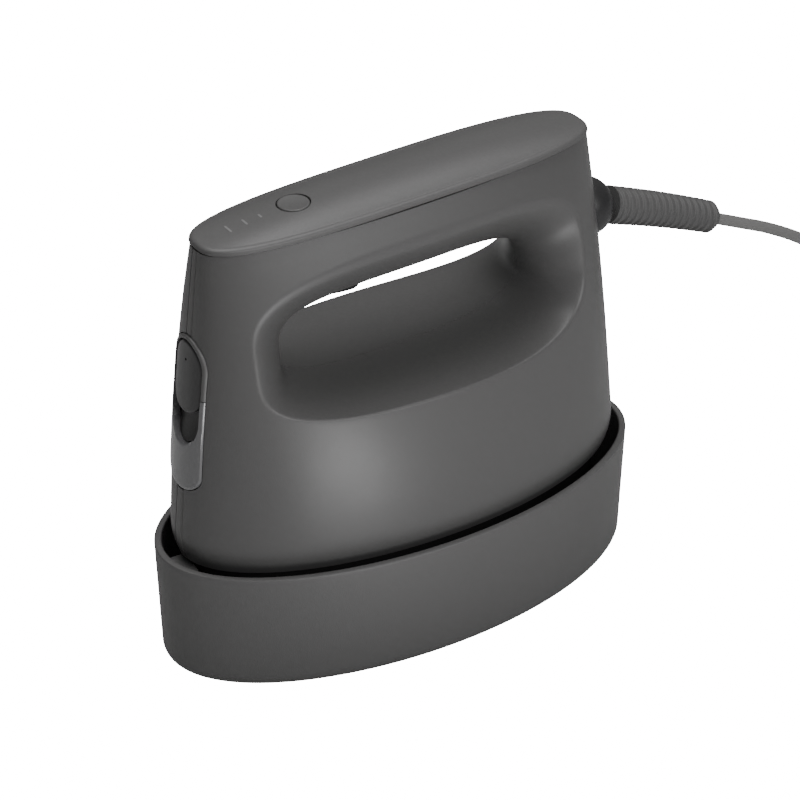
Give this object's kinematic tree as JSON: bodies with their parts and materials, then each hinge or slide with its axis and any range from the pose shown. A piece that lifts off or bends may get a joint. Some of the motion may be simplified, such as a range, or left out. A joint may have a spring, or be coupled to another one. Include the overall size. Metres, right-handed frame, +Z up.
{
  "type": "handheld steam iron",
  "caption": "Small handheld steam iron with an oval body and a closed loop handle, parked upright in its open oval stand, with a coiled mains cord and plug.",
  "frame": {"origin": "middle of the stand, on the surface it stands on", "axes": "+Z up; -X to the nose with the filler cover; +X to the cord; -Y to the left side of the iron"},
  "size_m": [0.4415, 0.0985, 0.1548],
  "materials": {
    "shell_grey": "fine matte texture",
    "stand_grey": "fine matte texture",
    "dark_plastic": "satin",
    "cover_dark": "semi gloss",
    "smoked_clear": "clear smoked, glossy",
    "soft_rubber": "soft matte",
    "cord_grey": "soft matte",
    "cast_alloy": "as cast",
    "steel": "rolled sheet",
    "board_green": "laminate",
    "nickel": "nickel plated"
  },
  "bodies": {
    "stand": {"stand_shell": "stand_grey", "stand_mat": "soft_rubber", "nose_locator": "stand_grey", "foot_nose_left": "soft_rubber", "foot_nose_right": "soft_rubber", "foot_tail_left": "soft_rubber", "foot_tail_right": "soft_rubber"},
    "iron": {"bend_relief": "soft_rubber", "button_switch": "dark_plastic", "chamber_cover": "steel", "coil_tie": "dark_plastic", "control_board": "board_green", "cord_anchor": "dark_plastic", "cord_coil": "cord_grey", "cord_collar": "dark_plastic", "cord_tail": "cord_grey", "filler_frame": "shell_grey", "filler_port": "dark_plastic", "finger_scoop": "dark_plastic", "heat_guard": "dark_plastic", "heat_shield": "steel", "heater_element": "steel", "inlet_tube": "soft_rubber", "nose_strip_lower": "shell_grey", "nose_strip_upper": "shell_grey", "outlet_tube": "soft_rubber", "plug_blade_left": "nickel", "plug_blade_right": "nickel", "plug_body": "dark_plastic", "power_cord": "cord_grey", "side_shell_left": "shell_grey", "side_shell_right": "shell_grey", "sole_screw_nose": "steel", "sole_screw_tail": "steel", "soleplate": "steel", "steam_chamber": "cast_alloy", "tank_window": "smoked_clear", "terminal_block": "dark_plastic", "thermal_fuse": "cast_alloy", "thermostat": "dark_plastic", "top_lid": "shell_grey", "trigger_switch": "dark_plastic", "water_pump": "dark_plastic", "water_tank": "smoked_clear"},
    "power_button": {"power_button": "shell_grey"},
    "steam_trigger": {"steam_trigger": "dark_plastic"},
    "filler_cover": {"filler_cover": "cover_dark", "filler_seal": "soft_rubber"}
  },
  "joints": [
    {"name": "iron_lift", "type": "slide", "parent": "stand", "child": "iron", "axis": [0, 0, 1], "range_m": [0, 0.15]},
    {"name": "power_button_press", "type": "slide", "parent": "iron", "child": "power_button", "axis": [0, 0, -1], "range_m": [0, 0.001], "stiffness_N_per_m": 300, "springref_m": -0.0005},
    {"name": "steam_trigger_squeeze", "type": "hinge", "parent": "iron", "child": "steam_trigger", "pos_m": [-0.0345, 0, 0.125], "axis": [0, -1, 0], "range_deg": [0, 8], "stiffness_Nm_per_rad": 0.05, "springref_deg": -5.73},
    {"name": "filler_cover_open", "type": "hinge", "parent": "iron", "child": "filler_cover", "pos_m": [-0.0734, 0, 0.114], "axis": [0, 1, 0], "range_deg": [0, 80]}
  ]
}
